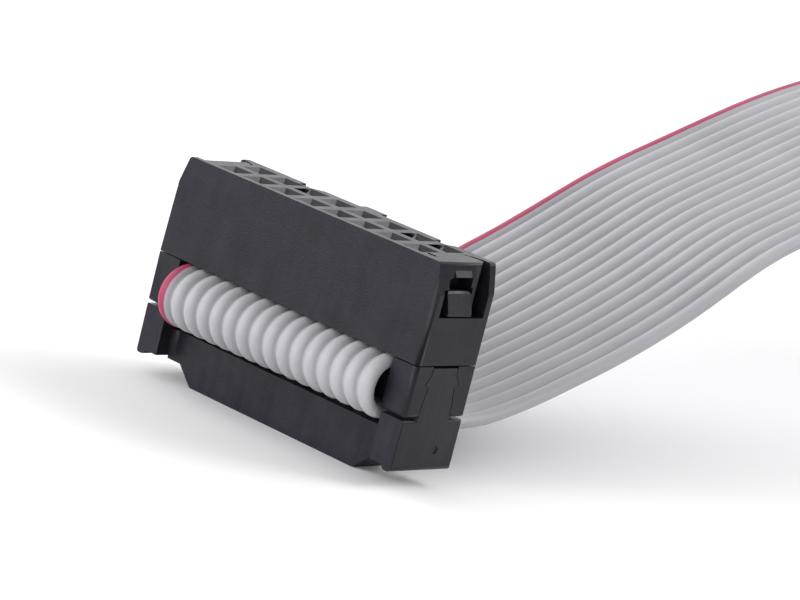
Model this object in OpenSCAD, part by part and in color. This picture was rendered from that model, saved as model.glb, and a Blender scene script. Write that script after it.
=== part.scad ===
// 16-way flat ribbon cable, 1.27 mm conductor pitch, with a 2 x 8 socket
// connector at each end. Each connector is a socket body with sixteen
// stamped fork contacts, a cover that presses the ribbon on to the forks,
// and a clip-on strain relief. The ribbon folds round the front of the
// cover and leaves under it.
//
// Axes: X along the contact rows, +Y the way the ribbon leaves, +Z the
// mating direction. Origin: centre of the foot face of the near strain
// relief, which the part stands on.

/* [Socket body] */
// Length of the socket body along its contact rows
body_len = 25; // [24.9:0.1:26]
// Thickness of the socket body across its two rows
body_w = 6.06; // [6:0.02:6.2]
// Height of the socket body from the cable side to the mating face
body_h = 7; // [6.9:0.1:8]
// How far the front leans back from the cable side to the mating face
front_lean = 0.32; // [0.2:0.02:0.4]
// Side of a pin funnel at the mating face
funnel_w = 1.84; // [1.6:0.02:2]
// Depth of a pin funnel
funnel_d = 0.5; // [0.45:0.05:0.9]
// Side of the square pin hole below the funnel
pin_hole = 0.9; // [0.8:0.05:1]

/* [Cover] */
// Height of the cover's end blocks
cover_h = 3.67; // [3.4:0.01:3.7]
// Gap left between the cover's end blocks and the socket body
seam = 0.08; // [0.08:0.01:0.16]
// Thickness of each latch leg in the socket body
leg_t = 0.75; // [0.6:0.05:0.8]

/* [Strain relief] */
// Half width of the clip's bar, front to back
bar_y = 1.6; // [1.3:0.1:1.7]
// Length of the foot face that the part stands on
foot_len = 16; // [14:0.2:16.4]
// Thickness of each end plate
plate_t = 2; // [1.8:0.05:2.1]

/* [Ribbon] */
// Pitch of the conductors
pitch = 1.27; // [1.27]
// Number of conductors
ways = 16; // [16]
// Thickness of the ribbon over its insulation
rib_t = 0.95; // [0.85:0.05:0.95]
// Distance between the two connectors, centre to centre
span = 166; // [150:1:180]

/* [Contacts] */
// Thickness of the contact strip metal
strip_t = 0.32; // [0.25:0.01:0.34]

/* [Hidden] */

$fn = 48;
e = 0.01;

// Levels, measured up from the foot face
z_split = 8.7;                  // underside of the socket body
z_top = z_split + body_h;       // mating face
z_cov = z_split - cover_h;      // underside of the cover's end blocks
z_lip = 1.25;                   // underside of the lips below the end plates
z_plate0 = 1.3;                 // underside of the bar beside the end plates
z_plate1 = 4.85;                // top of the end plates
z_bar1 = 3.5;                   // top of the bar
z_up = 8.15;                    // centre of the ribbon's clamped run
z_low = 4.55;                   // centre of the ribbon's return run
y_fold = 2.2;                   // distance of the fold's centre from the middle

hl = body_len / 2;
hw = body_w / 2;
row_y = 1.27;                   // contact rows at plus and minus this
rib_w = ways * pitch;           // ribbon width

// Contact k (1 to 16) pierces conductor k. Odd ones stand in the front
// row, even ones in the back row.
function cx(k) = (floor((k - 1) / 2) - 3.5) * 2.54;   // pin position
function side(k) = (k % 2 == 1) ? -1 : 1;             // fork offset and row
function wx(k) = (k - (ways + 1) / 2) * pitch;        // conductor position

// ---- shared outlines ----

// Plan of the housing, with its own radius at the front left corner, the
// front right corner and the two back corners
module plan(rl = 0.12, rr = 0.35, rb = 0.1) {
    translate([-hl + rl, -hw]) square([body_len - rl - rr, hw]);
    translate([-hl, -hw + rl]) square([hl, body_w - rl - rb]);
    translate([0, -hw + rr]) square([hl, body_w - rr - rb]);
    translate([-hl + rb, 0]) square([body_len - 2 * rb, hw]);
    translate([-hl + rl, -hw + rl]) circle(r = rl);
    translate([hl - rr, -hw + rr]) circle(r = rr);
    for (s = [-1, 1]) translate([s * (hl - rb), hw - rb]) circle(r = rb);
}

// Upright outline w wide from z0 to z1, its lower corners rounded
module round_low(w, z0, z1, r) {
    translate([-w / 2, z0 + r]) square([w, z1 - z0 - r]);
    translate([-w / 2 + r, z0]) square([w - 2 * r, r + 0.05]);
    for (s = [-1, 1]) translate([s * (w / 2 - r), z0 + r]) circle(r = r);
}

// Extrudes an outline drawn in X and Z along Y, centred on y = 0
module along_y(w) { rotate([90, 0, 0]) translate([0, 0, -w / 2]) linear_extrude(w) children(); }

// Extrudes an outline drawn in Y and Z along X, centred on x = 0
module along_x(w) { rotate([90, 0, 90]) translate([0, 0, -w / 2]) linear_extrude(w) children(); }

// ---- socket body ----

// Square lead-in for one pin, made as two crossed wedges
module funnel() {
    a = funnel_w / 2 + 0.02;
    b = pin_hole / 2;
    p = [[-b, -funnel_d], [b, -funnel_d], [a, 0.02], [-a, 0.02]];
    intersection() {
        along_y(4) polygon(p);
        along_x(4) polygon(p);
    }
}

// Everything cut away round one contact; s is -1 or 1
module contact_cavity(s) {
    // tight slot that holds the base of the contact
    translate([min(-0.93, s * 1.17), -0.19, z_split - e])
        cube([2.1, 0.38, 1.75 + e]);
    // room for the two spring beams
    translate([-0.8, -0.6, z_split + 1.75 - e]) cube([1.6, 1.2, 3.65 + e]);
    // square pin hole
    translate([-pin_hole / 2, -pin_hole / 2, z_split + 5]) cube([pin_hole, pin_hole, z_top - z_split - 5]);
    translate([0, 0, z_top]) funnel();
}

// Outline of the socket body from the front: its ends lean in towards the
// mating face and turn into it with a radius
module lean_outline() {
    lean = 0.55;
    h = 2.15;
    r = 0.25;
    nx = h / norm([lean, h]);
    nz = lean / norm([lean, h]);
    xc = hl - lean - (r - nz * r) / nx;     // centre of the radius
    polygon([
        [-hl, z_split - 1], [hl, z_split - 1], [hl, z_top - h],
        [xc + r * nx, z_top - r + r * nz], [xc, z_top],
        [-xc, z_top], [-xc - r * nx, z_top - r + r * nz], [-hl, z_top - h]]);
    for (s = [-1, 1]) translate([s * xc, z_top - r]) circle(r = r);
}

// Outline of the socket body from above, its front corners still square
module body_plan(rb = 0.1) {
    translate([-hl, -hw]) square([body_len, body_w - rb]);
    translate([-hl + rb, 0]) square([body_len - 2 * rb, hw]);
    for (s = [-1, 1]) translate([s * (hl - rb), hw - rb]) circle(r = rb);
}

// Outline of the socket body from the end: the front leans back towards the
// mating face
module front_outline() {
    d = front_lean / body_h;
    polygon([
        [-hw - d, z_split - 1], [hw + 1, z_split - 1], [hw + 1, z_top + 1],
        [-hw + front_lean + d, z_top + 1]]);
}

// Cuts a radius r along a front corner; s is -1 or 1
module front_corner(s, r) {
    translate([s * hl, -hw, z_split]) rotate([-atan(front_lean / body_h), 0, 0])
        translate([0, 0, -1]) linear_extrude(body_h + 2) difference() {
            translate([s > 0 ? -r : -1, -1]) square([r + 1, r + 1]);
            translate([-s * r, r]) circle(r = r);
        }
}

module socket_body() color([0.235, 0.232, 0.252]) {
    difference() {
        union() {
            intersection() {
                translate([0, 0, z_split]) linear_extrude(body_h) body_plan();
                along_y(body_w + 2) lean_outline();
                along_x(body_len + 2) front_outline();
            }
            // polarising key on the back
            translate([-0.75, hw - 0.3, z_top - 6.2]) cube([1.95, 0.97, 6.2]);
            // raised lip over each end window
            for (m = [0, 1]) mirror([m, 0, 0]) translate([0, -0.28, 0]) along_y(1.65)
                polygon([[hl - 0.6, z_top - 0.5], [hl - 0.42, z_top - 0.52], [hl - 0.2, z_top - 0.95], [hl - 0.6, z_top - 0.95]]);
        }
        front_corner(-1, 0.12);
        front_corner(1, 0.35);
        for (k = [1:ways]) translate([cx(k), side(k) * row_y, 0]) contact_cavity(side(k));
        for (m = [0, 1]) mirror([m, 0, 0]) {
            // channel for the cover's latch leg
            translate([hl - 1.6, -1.25, z_split - e]) cube([1.13, 2.5, body_h - 1.75 + e]);
            // window in the end wall, where the latch hook shows
            translate([hl - 1.6 + 2, 0, 0]) along_x(4) polygon([
                [-2.1, z_top - 3.7], [1.04, z_top - 3.7], [1.04, z_top - 0.95],
                [-1.2, z_top - 0.95], [-1.65, z_top - 1.15], [-1.65, z_top - 1.8], [-2.1, z_top - 1.8]]);
            // the post behind the window stands back from the end face
            translate([hl - 0.5, 1, z_top - 3.7]) cube([2, 0.7, 5]);
            // curved slot between the end wall and the back wall
            translate([0, 0, z_top - 3.7]) linear_extrude(5) polygon([
                [hl - 2.3, 1.6], [hl - 1.9, 1.86], [hl - 1.3, 2.02], [hl - 0.8, 1.98], [hl - 0.5, 1.56], [hl + 1, 1.56],
                [hl + 1, 2.46], [hl - 1.2, 2.42], [hl - 1.8, 2.2], [hl - 2.3, 1.76]]);
        }
        // short slot beside the last front funnel
        translate([hl - 2.55, -1.92, z_top - 2]) cube([0.75, 0.34, 3]);
        // the left end wall stands back between its two side walls
        translate([-hl - 1, -2.2, 0]) end_step();
        // two small notches in the back edge of the mating face
        translate([0, 0, z_top - 1.1]) linear_extrude(3) {
            polygon([[-6.05, hw + 1], [-6.05, 2.32], [-4.95, 2.32], [-4.1, hw + 0.02], [-4.1, hw + 1]]);
            polygon([[6.9, hw + 1], [6.9, 2.32], [7.85, 2.32], [8.35, hw + 0.02], [8.35, hw + 1]]);
        }
    }
}

module end_step() {
    translate([0, 4.22, 0]) rotate([90, 0, 0]) linear_extrude(4.22)
        polygon([[0, z_top - 1.6], [1.3, z_top - 1.6], [2.45, z_top - 0.17], [2.45, z_top + 1], [0, z_top + 1]]);
}

// ---- contacts ----

// One contact, stamped from strip: a slotted fork that pierces the
// ribbon below, a base held in the body, two spring beams above
module contact(k) color([0.72, 0.56, 0.33]) {
    s = side(k);
    o = 0.635;
    zb = z_split + 0.75;
    zs = z_split + 1.75;
    // right half of the spring fork, from the base up and back to the middle
    beam = [[0.72, zs], [0.72, zs + 1.2], [0.66, zs + 2.6], [0.72, zs + 3.4], [0.5, zs + 3.4],
            [0.3, zs + 2.7], [0.4, zs + 1.2], [0.32, zs + 0.5], [0.12, zs + 0.25]];
    // piercing fork with the slot that grips the conductor, opening downward
    fork = [[o - 0.49, zb], [o - 0.49, z_split - 1.85], [o - 0.25, z_split - 2.25],
            [o - 0.12, z_split - 1.75], [o - 0.1, z_split + 0.25],
            [o + 0.1, z_split + 0.25], [o + 0.12, z_split - 1.75],
            [o + 0.25, z_split - 2.25], [o + 0.49, z_split - 1.85], [o + 0.49, zs]];
    outline = concat([[-0.88, zb]], fork, beam,
        [for (i = [len(beam) - 1:-1:0]) [-beam[i][0], beam[i][1]]], [[-0.88, zs]]);
    translate([cx(k), s * row_y, 0]) along_y(strip_t) polygon([for (p = outline) [s * p[0], p[1]]]);
}

// ---- cover ----

// Half outline of the strain relief's arm, seen from the end; g is the
// gap added all round for the recess it lies in
module arm_outline(g = 0) {
    polygon([
        [-1.22 - g, z_split - 0.2 + 3 * g], [1.22 + g, z_split - 0.2 + 3 * g],
        [1.26 + g, z_split - 0.75], [1.66 + g, z_split - 1.3], [1.6 + g, z_split - 1.45], [1.3 + g, z_split - 1.55],
        [1.5 + g, z_split - 2.7], [1.64 + g, z_plate1 - 0.5],
        [-1.64 - g, z_plate1 - 0.5], [-1.5 - g, z_split - 2.7],
        [-1.3 - g, z_split - 1.55], [-1.6 - g, z_split - 1.45], [-1.66 - g, z_split - 1.3], [-1.26 - g, z_split - 0.75]]);
}

module cover() color([0.19, 0.187, 0.207]) {
    mid = 20.7;          // between the end blocks
    z0 = z_low + 0.7;    // underside of the bridge, clear of the return run
    z1 = z_up - 0.5;     // seat for the ribbon
    difference() {
        union() {
            // end blocks, same plan as the socket body, lower edges rounded
            intersection() {
                translate([0, 0, z_cov]) linear_extrude(cover_h - seam) plan();
                along_y(8) round_low(body_len, z_cov, z_split + 1, 0.25);
                along_x(30) round_low(body_w, z_cov, z_split + 1, 0.25);
                for (s = [-1, 1]) translate([s * (mid / 2 + 1.5), 0, z_cov + 3]) cube([3, 8, 8], center = true);
            }
            // low stops that the socket body seats on
            for (sx = [-1, 1]) for (sy = [-1, 1])
                translate([sx * (hl - 1.3), sy * 2, z_split - 0.5]) translate([-0.35, -0.35, 0]) cube([0.7, 0.7, 0.5]);
            // bridge between them that the ribbon is folded round
            along_x(mid + 0.5) {
                translate([-2.3, z0 + 0.5]) square([4.6, z1 - z0 - 1]);
                translate([-1.8, z0]) square([3.6, z1 - z0]);
                for (y = [-1.8, 1.8]) for (z = [z0 + 0.5, z1 - 0.5]) translate([y, z]) circle(r = 0.5);
            }
            // latch legs with their hooks
            for (m = [0, 1]) mirror([m, 0, 0]) {
                translate([hl - 1.55, -1.15, z_split - 0.5]) cube([leg_t, 2.3, 5.25]);
                intersection() {
                    along_y(2.4) polygon([
                        [hl - 1.2, z_top - 3.6], [hl - 0.05, z_top - 3.6], [hl - 0.05, z_top - 3.35],
                        [hl - 0.5, z_top - 2.15], [hl - 0.65, z_top - 2], [hl - 1.2, z_top - 2]]);
                    translate([hl - 0.6, 0, 0]) along_x(2) {
                        translate([-1.2, z_top - 3.7]) square([2.4, 1.45]);
                        translate([-0.95, z_top - 3.7]) square([1.9, 1.75]);
                        for (s = [-1, 1]) translate([s * 0.95, z_top - 2.25]) circle(r = 0.25);
                    }
                }
            }
        }
        // recesses for the strain relief's arms
        for (m = [0, 1]) mirror([m, 0, 0])
            translate([hl - 0.62 + 1, 0, 0]) along_x(2) arm_outline(0.06);
        // slots that the contact forks enter
        for (k = [1:ways]) translate([wx(k) - 0.56, side(k) * row_y - 0.22, z_split - 2.4]) cube([1.12, 0.44, 3]);
    }
}

// ---- strain relief ----

module strain_relief() color([0.265, 0.262, 0.28]) {
    xi = hl - plate_t;               // inner side of the end plates
    fl = foot_len / 2;
    difference() {
        union() {
            // bar, deeper in the middle where it stands
            along_y(2 * bar_y) polygon([
                [-xi - 0.2, z_plate0], [-fl - 1.4, z_plate0], [-fl - 0.14, 0.13], [-fl - 0.05, 0.03], [-fl + 0.08, 0],
                [fl - 0.08, 0], [fl + 0.05, 0.03], [fl + 0.14, 0.13], [fl + 1.4, z_plate0], [xi + 0.2, z_plate0],
                [xi + 0.2, z_bar1], [-xi - 0.2, z_bar1]]);
            // fillets between bar and plates
            translate([0, 0, z_plate0 + 0.3]) linear_extrude(z_bar1 - z_plate0 - 0.3)
                for (sx = [-1, 1]) for (sy = [-1, 1]) inner_fillet(sx, sy, xi, 0.5);
            for (m = [0, 1]) mirror([m, 0, 0]) {
                // end plate with a lip along its outer lower edge
                intersection() {
                    along_y(6.06) plate_outline(xi);
                    translate([0, 0, z_lip - 1]) linear_extrude(z_plate1 - z_lip + 2) plan(0.12, 0.12, 0.1);
                }
                // arm that clips into the end of the cover
                translate([hl - 0.56 + 0.28, 0, 0]) along_x(0.56) arm_outline(0);
            }
        }
        // moulding gate mark on each end
        for (s = [-1, 1]) translate([s * hl, 0.95, 2.75]) rotate([0, 90, 0]) cylinder(r = 0.28, h = 0.16, center = true, $fn = 24);
    }
}

// concave corner between the bar's side and a plate's inner side
module inner_fillet(sx, sy, xi, r) {
    difference() {
        translate([sx > 0 ? xi - r : -xi - 0.1, sy > 0 ? bar_y - 0.1 : -bar_y - r]) square([r + 0.1, r + 0.1]);
        translate([sx * (xi - r), sy * (bar_y + r)]) circle(r = r);
    }
}

// outline of an end plate seen from the front
module plate_outline(xi) {
    r = 0.35;
    t = 0.18;
    // inner part
    translate([xi, z_lip + 0.33]) square([plate_t - r, z_plate1 - z_lip - 0.33]);
    // outer part down to the rounded lip
    translate([hl - 0.9, z_lip + r]) square([0.9, z_plate1 - t - z_lip - r]);
    translate([hl - 0.9 + r, z_lip]) square([0.9 - 2 * r, r + 0.1]);
    for (x = [hl - 0.9 + r, hl - r]) translate([x, z_lip + r]) circle(r = r);
    // rounded top outer corner
    translate([hl - 0.9, z_plate1 - t - 0.1]) square([0.9 - t, t + 0.1]);
    translate([hl - t, z_plate1 - t]) circle(r = t);
}

// ---- ribbon ----

// Route of the free ribbon in Y and Z, from under the near cover up to
// the top of its arch; the second half mirrors the first
HALF = [
    [-2.2, 4.55], [0.5, 4.35], [3, 3.95], [6, 3.55], [9, 3.8], [12, 4.5], [15, 5.4], [18, 6.45],
    [21, 7.55], [24, 8.8], [27, 10.15], [30, 11.55], [33, 13.1], [36, 14.7], [39, 16.15],
    [42, 17.35], [45, 18.45], [48, 19.55], [52, 21.05], [56, 22.5], [60, 23.8], [64, 24.9],
    [68, 25.8], [73, 26.6], [78, 27.05], [83, 27.2]];

function stretch(p) = [p[0] > 60 ? 60 + (p[0] - 60) * (span / 2 - 60) / 23 : p[0], p[1]];
function back(p) = [span - p[0], p[1]];
nh = len(HALF);
ROUTE = concat([[-5, 4.6]], [for (p = HALF) stretch(p)],
    [for (i = [nh - 2:-1:0]) back(stretch(HALF[i]))], [[span + 5, 4.6]]);

// smooth curve through the route's points
function smooth(a, b, c, d, t) = 0.5 * (2 * b + (c - a) * t + (2 * a - 5 * b + 4 * c - d) * t * t + (3 * b - a - 3 * c + d) * t * t * t);
FREE = [for (i = [1:len(ROUTE) - 3]) for (t = [0, 0.5]) smooth(ROUTE[i - 1], ROUTE[i], ROUTE[i + 1], ROUTE[i + 2], t)];

// half turn round the front of the cover, from the clamped run downward
fr0 = (z_up - z_low) / 2;
function fold(n) = [for (i = [0:n - 1]) let (a = 90 + 180 * i / n) [-y_fold + fr0 * cos(a), z_low + fr0 + fr0 * sin(a)]];

// whole centre line from cut end to cut end
START = concat([[hw - 0.1, z_up]], fold(16));
LINE = concat(START, FREE, [ROUTE[len(ROUTE) - 2]],
    [for (i = [len(START) - 1:-1:0]) back(START[i])]);

function dir(i) = let (a = LINE[max(0, i - 1)], b = LINE[min(len(LINE) - 1, i + 1)]) (b - a) / norm(b - a);
function off(i, d) = LINE[i] + d * [-dir(i)[1], dir(i)[0]];

module ribbon() color([0.69, 0.686, 0.706]) {
    n = len(LINE);
    difference() {
        along_x(rib_w) polygon(concat(
            [for (i = [0:n - 1]) off(i, rib_t / 2)],
            [for (i = [n - 1:-1:0]) off(i, -rib_t / 2)]));
        // slits made by the contact forks
        for (y0 = [0, span]) for (k = [1:ways])
            translate([wx(k) - 0.5, y0 + side(k) * row_y - 0.17, z_up - 1]) cube([1, 0.34, 2]);
    }
}

module at_far() { translate([0, span, 0]) children(); }

socket_body();
cover();
strain_relief();
contact(1);  // contact_01
contact(2);  // contact_02
contact(3);  // contact_03
contact(4);  // contact_04
contact(5);  // contact_05
contact(6);  // contact_06
contact(7);  // contact_07
contact(8);  // contact_08
contact(9);  // contact_09
contact(10);  // contact_10
contact(11);  // contact_11
contact(12);  // contact_12
contact(13);  // contact_13
contact(14);  // contact_14
contact(15);  // contact_15
contact(16);  // contact_16
ribbon();
at_far() socket_body();  // far_socket_body
at_far() cover();  // far_cover
at_far() strain_relief();  // far_strain_relief
at_far() contact(1);  // far_contact_01
at_far() contact(2);  // far_contact_02
at_far() contact(3);  // far_contact_03
at_far() contact(4);  // far_contact_04
at_far() contact(5);  // far_contact_05
at_far() contact(6);  // far_contact_06
at_far() contact(7);  // far_contact_07
at_far() contact(8);  // far_contact_08
at_far() contact(9);  // far_contact_09
at_far() contact(10);  // far_contact_10
at_far() contact(11);  // far_contact_11
at_far() contact(12);  // far_contact_12
at_far() contact(13);  // far_contact_13
at_far() contact(14);  // far_contact_14
at_far() contact(15);  // far_contact_15
at_far() contact(16);  // far_contact_16
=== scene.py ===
import math

import bpy
import numpy as np
from mathutils import Matrix, Vector


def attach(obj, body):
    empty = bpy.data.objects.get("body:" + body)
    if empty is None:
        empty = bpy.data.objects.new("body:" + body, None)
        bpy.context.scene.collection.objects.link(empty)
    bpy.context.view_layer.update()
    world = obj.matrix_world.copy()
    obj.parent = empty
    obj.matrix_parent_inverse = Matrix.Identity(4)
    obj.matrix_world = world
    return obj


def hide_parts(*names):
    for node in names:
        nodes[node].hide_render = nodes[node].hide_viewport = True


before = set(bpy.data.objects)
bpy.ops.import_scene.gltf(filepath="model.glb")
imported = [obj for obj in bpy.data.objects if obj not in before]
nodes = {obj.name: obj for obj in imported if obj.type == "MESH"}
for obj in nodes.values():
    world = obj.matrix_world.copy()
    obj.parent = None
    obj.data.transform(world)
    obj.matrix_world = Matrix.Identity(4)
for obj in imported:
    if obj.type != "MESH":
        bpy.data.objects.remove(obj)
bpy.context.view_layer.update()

MM = 0.001
scene = bpy.context.scene

# ---------------------------------------------------------------- camera

# rows: image right, image down, forward, in the object's frame
RIGHT = (0.717545, 0.653252, 0.24164)
DOWN = (0.314652, 0.005489, -0.949191)
AHEAD = (-0.621388, 0.75712, -0.201608)
EYE = (0.15228, -0.176759, 0.058599)

cam_data = bpy.data.cameras.new("camera")
cam = bpy.data.objects.new("camera", cam_data)
scene.collection.objects.link(cam)
cam.matrix_world = Matrix(
    [
        [RIGHT[0], -DOWN[0], -AHEAD[0], EYE[0]],
        [RIGHT[1], -DOWN[1], -AHEAD[1], EYE[1]],
        [RIGHT[2], -DOWN[2], -AHEAD[2], EYE[2]],
        [0, 0, 0, 1],
    ]
)
cam_data.sensor_fit = "HORIZONTAL"
cam_data.sensor_width = 36
cam_data.lens = 157.017
cam_data.clip_start = 0.005
cam_data.clip_end = 20
scene.camera = cam

scene.view_settings.view_transform = "Standard"
scene.view_settings.look = "None"
scene.view_settings.exposure = 0
scene.view_settings.gamma = 1

# ---------------------------------------------------------------- ribbon

# The route repeats part.scad's, in millimetres
SPAN = 166.0
Z_UP, Z_LOW, Y_FOLD = 8.15, 4.55, 2.2
RIB_T = 0.95
PITCH = 1.27
WAYS = 16
HALF = [
    (-2.2, 4.55), (0.5, 4.35), (3, 3.95), (6, 3.55), (9, 3.8), (12, 4.5), (15, 5.4), (18, 6.45),
    (21, 7.55), (24, 8.8), (27, 10.15), (30, 11.55), (33, 13.1), (36, 14.7), (39, 16.15),
    (42, 17.35), (45, 18.45), (48, 19.55), (52, 21.05), (56, 22.5), (60, 23.8), (64, 24.9),
    (68, 25.8), (73, 26.6), (78, 27.05), (83, 27.2),
]


def route():
    """The ribbon's centre line from cut end to cut end, as (y, z) in mm."""
    half = [(60 + (y - 60) * (SPAN / 2 - 60) / 23 if y > 60 else y, z) for y, z in HALF]
    back = lambda p: (SPAN - p[0], p[1])
    pts = [(-5, 4.6)] + half + [back(p) for p in half[-2::-1]] + [(SPAN + 5, 4.6)]
    free = []
    for i in range(1, len(pts) - 2):
        a, b, c, d = (np.array(pts[j], float) for j in (i - 1, i, i + 1, i + 2))
        for t in (0, 0.5):
            free.append(
                tuple(
                    0.5
                    * (
                        2 * b
                        + (c - a) * t
                        + (2 * a - 5 * b + 4 * c - d) * t * t
                        + (3 * b - a - 3 * c + d) * t**3
                    )
                )
            )
    r = (Z_UP - Z_LOW) / 2
    fold = []
    for i in range(16):
        a = math.radians(90 + 180 * i / 16)
        fold.append((-Y_FOLD + r * math.cos(a), Z_LOW + r + r * math.sin(a)))
    start = [(2.93, Z_UP)] + fold
    return start + free + [pts[-2]] + [back(p) for p in start[::-1]]


LINE = np.array(route())


GROOVE = 0.12  # half the thickness of the web between two ribs
RIB_HALF = 0.55  # half the width of a rib where it meets the web


def rib_height(dx, outer):
    """Half thickness of the ribbon at dx from a rib's middle."""
    if outer:
        return RIB_T / 2 * max(0.0, 1 - (abs(dx) / (PITCH / 2)) ** 2.2) ** 0.5
    r = RIB_T / 2 * max(0.0, 1 - (abs(dx) / RIB_HALF) ** 2) ** 0.5
    p = 3.2
    k = ((RIB_T / 2) ** p - GROOVE**p) ** (1 / p) / (RIB_T / 2)
    return ((k * r) ** p + GROOVE**p) ** (1 / p)


RIB_AT = [0, 0.035, 0.075, 0.12, 0.18, 0.26, 0.36, 0.5, 0.64, 0.74, 0.82, 0.88, 0.925, 0.965]


def section():
    """One ring of the ribbon: (x, height) in mm, along the top and back along the
    underside. Sixteen round ribs joined by a thin web."""
    top = []
    for k in range(WAYS):
        cx = (k - (WAYS - 1) / 2) * PITCH
        for t in RIB_AT:
            if k == 0 and t == 0:
                continue
            dx = (t - 0.5) * PITCH
            outer = (k == 0 and dx < 0) or (k == WAYS - 1 and dx > 0)
            top.append((cx + dx, rib_height(dx, outer)))
    left = (-WAYS * PITCH / 2, 0.0)
    right = (WAYS * PITCH / 2, 0.0)
    return [left] + top + [right] + [(x, -h) for x, h in reversed(top)]


def mesh_object(name, verts, faces, mats=(), face_mat=None, smooth=True):
    me = bpy.data.meshes.new(name)
    me.from_pydata([tuple(float(c) for c in v) for v in verts], [], faces)
    me.validate()
    me.update()
    ob = bpy.data.objects.new(name, me)
    scene.collection.objects.link(ob)
    for m in mats:
        me.materials.append(m)
    if face_mat is not None:
        for p, i in zip(me.polygons, face_mat):
            p.material_index = i
    for p in me.polygons:
        p.use_smooth = smooth
    return ob


def settle(x, y, z):
    """The near fold stands a little fuller towards the red edge, and the free
    run is very slightly twisted where it leaves the connector."""
    if y < -Y_FOLD:
        full = 0.5 - 0.5 * math.tanh((x + 1.5) / 5.5)
        mid = Z_LOW + (Z_UP - Z_LOW) / 2
        y = -Y_FOLD + (y + Y_FOLD) * (1 + 0.2 * full)
        if z < mid:
            z = mid + (z - mid) * (1 + 0.07 * full)
    elif y > 12:
        twist = 0.22 * math.exp(-(((y - 37) / 5) ** 2)) - 0.1 * math.exp(-(((y - 26) / 4) ** 2))
        z += twist * x / 10.16
    return x, y, z


def build_ribbon(mats):
    ring = np.array(section())
    m = len(ring)
    verts, faces = [], []
    n = len(LINE)
    for i in range(n):
        a, b = LINE[max(0, i - 1)], LINE[min(n - 1, i + 1)]
        d = (b - a) / np.linalg.norm(b - a)
        up = np.array([-d[1], d[0]])
        for x, h in ring:
            # the clamped run lies upside down against the return run, so the
            # ring keeps the same handedness all along the line
            y, z = LINE[i] + up * h
            verts.append([c * MM for c in settle(x, y, z)])
    for i in range(n - 1):
        for j in range(m):
            k = (j + 1) % m
            faces.append((i * m + j, i * m + k, (i + 1) * m + k, (i + 1) * m + j))
    faces.append(tuple(range(m - 1, -1, -1)))
    faces.append(tuple((n - 1) * m + j for j in range(m)))
    return mesh_object("ribbon_insulation", verts, faces, mats)


def build_strands(name, end, mat):
    """The cut conductors in one end of the ribbon: sixteen bundles of seven
    copper strands, a hair proud of the insulation."""
    at, nxt = (LINE[0], LINE[1]) if end == 0 else (LINE[-1], LINE[-2])
    out = (at - nxt) / np.linalg.norm(at - nxt)
    verts, faces = [], []
    r, sides = 0.062, 10
    for k in range(WAYS):
        cx = (k - (WAYS - 1) / 2) * PITCH
        lean = 0.35 * k + 0.2 * end
        spots = [(0.0, 0.0)] + [
            (0.128 * math.cos(lean + math.pi * i / 3), 0.128 * math.sin(lean + math.pi * i / 3))
            for i in range(6)
        ]
        for s, (dx, dz) in enumerate(spots):
            proud = 0.02 + 0.012 * ((3 * s + 5 * k) % 4)
            base = len(verts)
            for depth, rr in ((-0.3, r), (proud - 0.012, r), (proud, r * 0.8)):
                for i in range(sides):
                    t = 2 * math.pi * i / sides
                    p = at + out * depth
                    verts.append(
                        (
                            (cx + dx + rr * math.cos(t)) * MM,
                            float(p[0]) * MM,
                            (float(p[1]) + dz + rr * math.sin(t)) * MM,
                        )
                    )
            for lvl in (0, 1):
                for i in range(sides):
                    j = (i + 1) % sides
                    o = base + lvl * sides
                    f = (o + i, o + j, o + sides + j, o + sides + i)
                    faces.append(f if out[0] < 0 else f[::-1])
            low = tuple(base + i for i in range(sides))
            high = tuple(base + 2 * sides + i for i in range(sides))
            faces.append(low[::-1] if out[0] < 0 else low)
            faces.append(high if out[0] < 0 else high[::-1])
    return mesh_object(name, verts, faces, [mat], smooth=False)


# ------------------------------------------------------------- materials


class Nodes:
    """A small helper to write a material's nodes."""

    def __init__(self, name):
        self.mat = bpy.data.materials.new(name)
        self.mat.use_nodes = True
        self.tree = self.mat.node_tree
        self.bsdf = next(n for n in self.tree.nodes if n.type == "BSDF_PRINCIPLED")

    def new(self, kind, **values):
        n = self.tree.nodes.new(kind)
        for k, v in values.items():
            if hasattr(n, k):
                setattr(n, k, v)
            else:
                n.inputs[k].default_value = v
        return n

    def link(self, a, b):
        self.tree.links.new(a, b)


def srgb(r, g, b):
    def lin(c):
        c /= 255
        return c / 12.92 if c <= 0.04045 else ((c + 0.055) / 1.055) ** 2.4

    return (lin(r), lin(g), lin(b), 1)


def noise(n, coord, scale, detail=3, rough=0.5, stretch=None):
    src = coord
    if stretch:
        mp = n.new("ShaderNodeMapping")
        mp.inputs["Scale"].default_value = stretch
        n.link(coord, mp.inputs["Vector"])
        src = mp.outputs["Vector"]
    t = n.new("ShaderNodeTexNoise")
    t.inputs["Scale"].default_value = scale
    t.inputs["Detail"].default_value = detail
    t.inputs["Roughness"].default_value = rough
    n.link(src, t.inputs["Vector"])
    return t


def ramp(n, fac, stops):
    r = n.new("ShaderNodeValToRGB")
    els = r.color_ramp.elements
    while len(els) < len(stops):
        els.new(0.5)
    for e, (p, c) in zip(els, stops):
        e.position = p
        e.color = c
    n.link(fac, r.inputs["Fac"])
    return r


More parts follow.
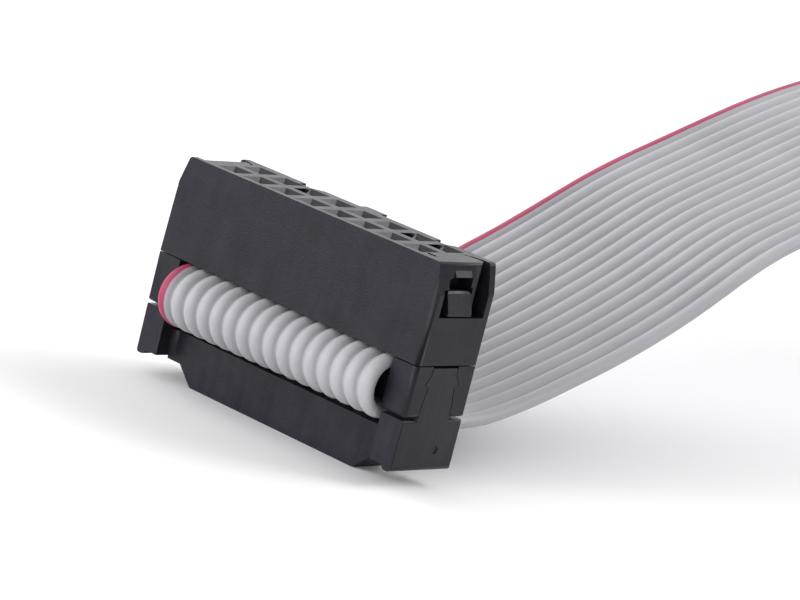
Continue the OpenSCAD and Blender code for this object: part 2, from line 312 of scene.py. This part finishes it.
def plastic(name, dark, light, rough=(0.26, 0.44), bump=0.00003, specular=0.215):
    """Moulded glass-filled plastic: mottled colour, fine texture, uneven gloss,
    faint drag marks from the mould and a few specks of dust."""
    n = Nodes(name)
    co = n.new("ShaderNodeTexCoord").outputs["Object"]
    broad = noise(n, co, 420, 4, 0.6)
    fine = noise(n, co, 5200, 2)
    drag = noise(n, co, 1500, 3, 0.55, stretch=(1, 1, 0.12))
    mixed = n.new("ShaderNodeMath", operation="MULTIPLY_ADD")
    n.link(drag.outputs["Fac"], mixed.inputs[0])
    mixed.inputs[1].default_value = 0.6
    n.link(broad.outputs["Fac"], mixed.inputs[2])
    col = ramp(n, mixed.outputs[0], [(0.55, dark), (1.05, light)])
    dots = n.new("ShaderNodeTexVoronoi")
    dots.inputs["Scale"].default_value = 1100
    n.link(co, dots.inputs["Vector"])
    # one cell in sixteen carries a speck, each of its own small size
    sep = n.new("ShaderNodeSeparateColor")
    n.link(dots.outputs["Color"], sep.inputs["Color"])
    size = n.new("ShaderNodeMapRange")
    size.inputs["From Min"].default_value = 0.94
    size.inputs["To Max"].default_value = 0.09
    n.link(sep.outputs["Red"], size.inputs["Value"])
    near = n.new("ShaderNodeMath", operation="LESS_THAN")
    n.link(dots.outputs["Distance"], near.inputs[0])
    n.link(size.outputs["Result"], near.inputs[1])
    mix = n.new("ShaderNodeMix", data_type="RGBA")
    n.link(near.outputs[0], mix.inputs["Factor"])
    n.link(col.outputs["Color"], mix.inputs["A"])
    mix.inputs["B"].default_value = srgb(112, 110, 118)
    n.link(mix.outputs["Result"], n.bsdf.inputs["Base Color"])
    rr = n.new("ShaderNodeMapRange")
    rr.inputs["To Min"].default_value = rough[0]
    rr.inputs["To Max"].default_value = rough[1]
    n.link(noise(n, co, 1300, 4, 0.6).outputs["Fac"], rr.inputs["Value"])
    n.link(rr.outputs["Result"], n.bsdf.inputs["Roughness"])
    b = n.new("ShaderNodeBump")
    b.inputs["Strength"].default_value = 0.4
    b.inputs["Distance"].default_value = bump
    n.link(fine.outputs["Fac"], b.inputs["Height"])
    b2 = n.new("ShaderNodeBump")
    b2.inputs["Strength"].default_value = 0.25
    b2.inputs["Distance"].default_value = 0.00008
    n.link(broad.outputs["Fac"], b2.inputs["Height"])
    n.link(b.outputs["Normal"], b2.inputs["Normal"])
    n.link(b2.outputs["Normal"], n.bsdf.inputs["Normal"])
    n.bsdf.inputs["Specular IOR Level"].default_value = specular
    return n.mat


def metal(name, base, tint, rough=(0.2, 0.35)):
    n = Nodes(name)
    co = n.new("ShaderNodeTexCoord").outputs["Object"]
    col = ramp(n, noise(n, co, 1500, 3).outputs["Fac"], [(0.35, base), (0.7, tint)])
    n.link(col.outputs["Color"], n.bsdf.inputs["Base Color"])
    rr = n.new("ShaderNodeMapRange")
    rr.inputs["To Min"].default_value = rough[0]
    rr.inputs["To Max"].default_value = rough[1]
    n.link(noise(n, co, 2600, 2, stretch=(1, 1, 0.15)).outputs["Fac"], rr.inputs["Value"])
    n.link(rr.outputs["Result"], n.bsdf.inputs["Roughness"])
    n.bsdf.inputs["Metallic"].default_value = 1
    return n.mat


RED_TO = -WAYS * PITCH / 2 + 0.86


def insulation(name):
    """Grey PVC with one red edge and fine lines drawn along it."""
    n = Nodes(name)
    co = n.new("ShaderNodeTexCoord").outputs["Object"]
    sep = n.new("ShaderNodeSeparateXYZ")
    n.link(co, sep.inputs["Vector"])
    broad = noise(n, co, 130, 3)
    grey = ramp(
        n, broad.outputs["Fac"], [(0.3, srgb(163, 162, 168)), (0.7, srgb(171, 170, 176))]
    )
    red = ramp(
        n, broad.outputs["Fac"], [(0.3, srgb(152, 46, 82)), (0.7, srgb(164, 56, 92))]
    )
    edge = noise(n, co, 420, 2)
    wob = n.new("ShaderNodeMath", operation="MULTIPLY_ADD")
    n.link(edge.outputs["Fac"], wob.inputs[0])
    wob.inputs[1].default_value = 0.00008
    n.link(sep.outputs["X"], wob.inputs[2])
    mask = n.new("ShaderNodeMapRange")
    mask.inputs["From Min"].default_value = (RED_TO + 0.01) * MM
    mask.inputs["From Max"].default_value = (RED_TO + 0.09) * MM
    n.link(wob.outputs[0], mask.inputs["Value"])
    mix = n.new("ShaderNodeMix", data_type="RGBA")
    n.link(mask.outputs["Result"], mix.inputs["Factor"])
    n.link(red.outputs["Color"], mix.inputs["A"])
    n.link(grey.outputs["Color"], mix.inputs["B"])
    n.link(mix.outputs["Result"], n.bsdf.inputs["Base Color"])
    lines = noise(n, co, 3000, 2, stretch=(1, 0.04, 0.04))
    b = n.new("ShaderNodeBump")
    b.inputs["Strength"].default_value = 0.25
    b.inputs["Distance"].default_value = 0.00002
    n.link(lines.outputs["Fac"], b.inputs["Height"])
    n.link(b.outputs["Normal"], n.bsdf.inputs["Normal"])
    rr = n.new("ShaderNodeMapRange")
    rr.inputs["To Min"].default_value = 0.42
    rr.inputs["To Max"].default_value = 0.56
    n.link(noise(n, co, 600, 2).outputs["Fac"], rr.inputs["Value"])
    n.link(rr.outputs["Result"], n.bsdf.inputs["Roughness"])
    n.bsdf.inputs["Specular IOR Level"].default_value = 0.4
    return n.mat


m_body = plastic("plastic_body", srgb(19, 17, 28), srgb(31, 29, 39))
m_cover = plastic("plastic_cover", srgb(20, 18, 29), srgb(33, 31, 41))
m_clip = plastic("plastic_clip", srgb(25, 23, 33), srgb(38, 36, 46))
m_brass = metal("plated_contact", srgb(214, 178, 104), srgb(226, 196, 128))
m_ins = insulation("grey_insulation")
m_copper = metal("copper_strand", srgb(196, 112, 74), srgb(214, 136, 96), (0.3, 0.5))

# ---------------------------------------------------------------- pieces

ribbon = build_ribbon([m_ins])
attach(ribbon, "root")
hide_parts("ribbon")

near_strands = build_strands("near_strands", 0, m_copper)
far_strands = build_strands("far_strands", 1, m_copper)
for ob in (near_strands, far_strands):
    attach(ob, "root")


def dress(ob, mat, width):
    """A material of its own and finely rounded edges for a CAD node."""
    for s in range(max(1, len(ob.data.materials))):
        if len(ob.data.materials):
            ob.data.materials[s] = mat
        else:
            ob.data.materials.append(mat)
    if width:
        w = ob.modifiers.new("weld", "WELD")
        w.merge_threshold = 1e-6
        b = ob.modifiers.new("bevel", "BEVEL")
        b.width = width
        b.segments = 2
        b.limit_method = "ANGLE"
        b.angle_limit = math.radians(35)
        b.harden_normals = True
        b.use_clamp_overlap = True


for name, ob in nodes.items():
    if "contact" in name:
        dress(ob, m_brass, 0.00002)
    elif "socket_body" in name:
        dress(ob, m_body, 0.00007)
    elif "cover" in name:
        dress(ob, m_cover, 0.00007)
    elif "strain_relief" in name:
        dress(ob, m_clip, 0.00007)

# ----------------------------------------------------------------- stage

floor = mesh_object(
    "floor", [(-6, -6, 0), (6, -6, 0), (6, 6, 0), (-6, 6, 0)], [(0, 1, 2, 3)], smooth=False
)
f = Nodes("pale_floor")
f.bsdf.inputs["Base Color"].default_value = (0.97, 0.97, 0.975, 1)
f.bsdf.inputs["Roughness"].default_value = 0.9
f.bsdf.inputs["Specular IOR Level"].default_value = 0.1
floor.data.materials.append(f.mat)

# A white studio with no lamps in it: an even glow, and soft patches of light
# given as (direction, power, gain). The wide one in front carries the plastic
# and the fold; the two narrow ones behind catch the funnels and the upper
# edges; the rest are fills.
GLOW = 0.22
PATCHES = [
    ((-0.3, -0.93, -0.15), 3, 5.1),  # front
    ((-0.6, 0.9, 0.2), 2, 0.6),  # back left
    ((0.47, 0.66, 0.56), 42, 9.0),  # back right, narrow
    ((0.12, 0.76, 0.64), 36, 5.4),  # behind and above
    ((-1, 0.3, 0.4), 4, 1.1),  # left
    ((-0.64, -0.18, 0.75), 24, 1.8),  # above left
]
world = bpy.data.worlds.new("studio")
scene.world = world
world.use_nodes = True
wt = world.node_tree
bg = wt.nodes["Background"]


def w_math(op, a, b=None, c=None):
    n = wt.nodes.new("ShaderNodeMath")
    n.operation = op
    for i, v in enumerate((a, b, c)):
        if v is None:
            continue
        if isinstance(v, (int, float)):
            n.inputs[i].default_value = v
        else:
            wt.links.new(v, n.inputs[i])
    return n.outputs[0]


def w_lobe(direction, power, gain):
    """A soft patch of light: gain * max(0, d . direction) ** power."""
    dot = wt.nodes.new("ShaderNodeVectorMath")
    dot.operation = "DOT_PRODUCT"
    wt.links.new(sky, dot.inputs[0])
    dot.inputs[1].default_value = Vector(direction).normalized()
    return w_math("MULTIPLY", w_math("POWER", w_math("MAXIMUM", dot.outputs["Value"], 0.0), power), gain)


sky = wt.nodes.new("ShaderNodeTexCoord").outputs["Generated"]
total = GLOW
for direction, power, gain in PATCHES:
    total = w_math("ADD", total, w_lobe(direction, power, gain))
wt.links.new(total, bg.inputs["Strength"])
bg.inputs["Color"].default_value = (1, 1, 1, 1)
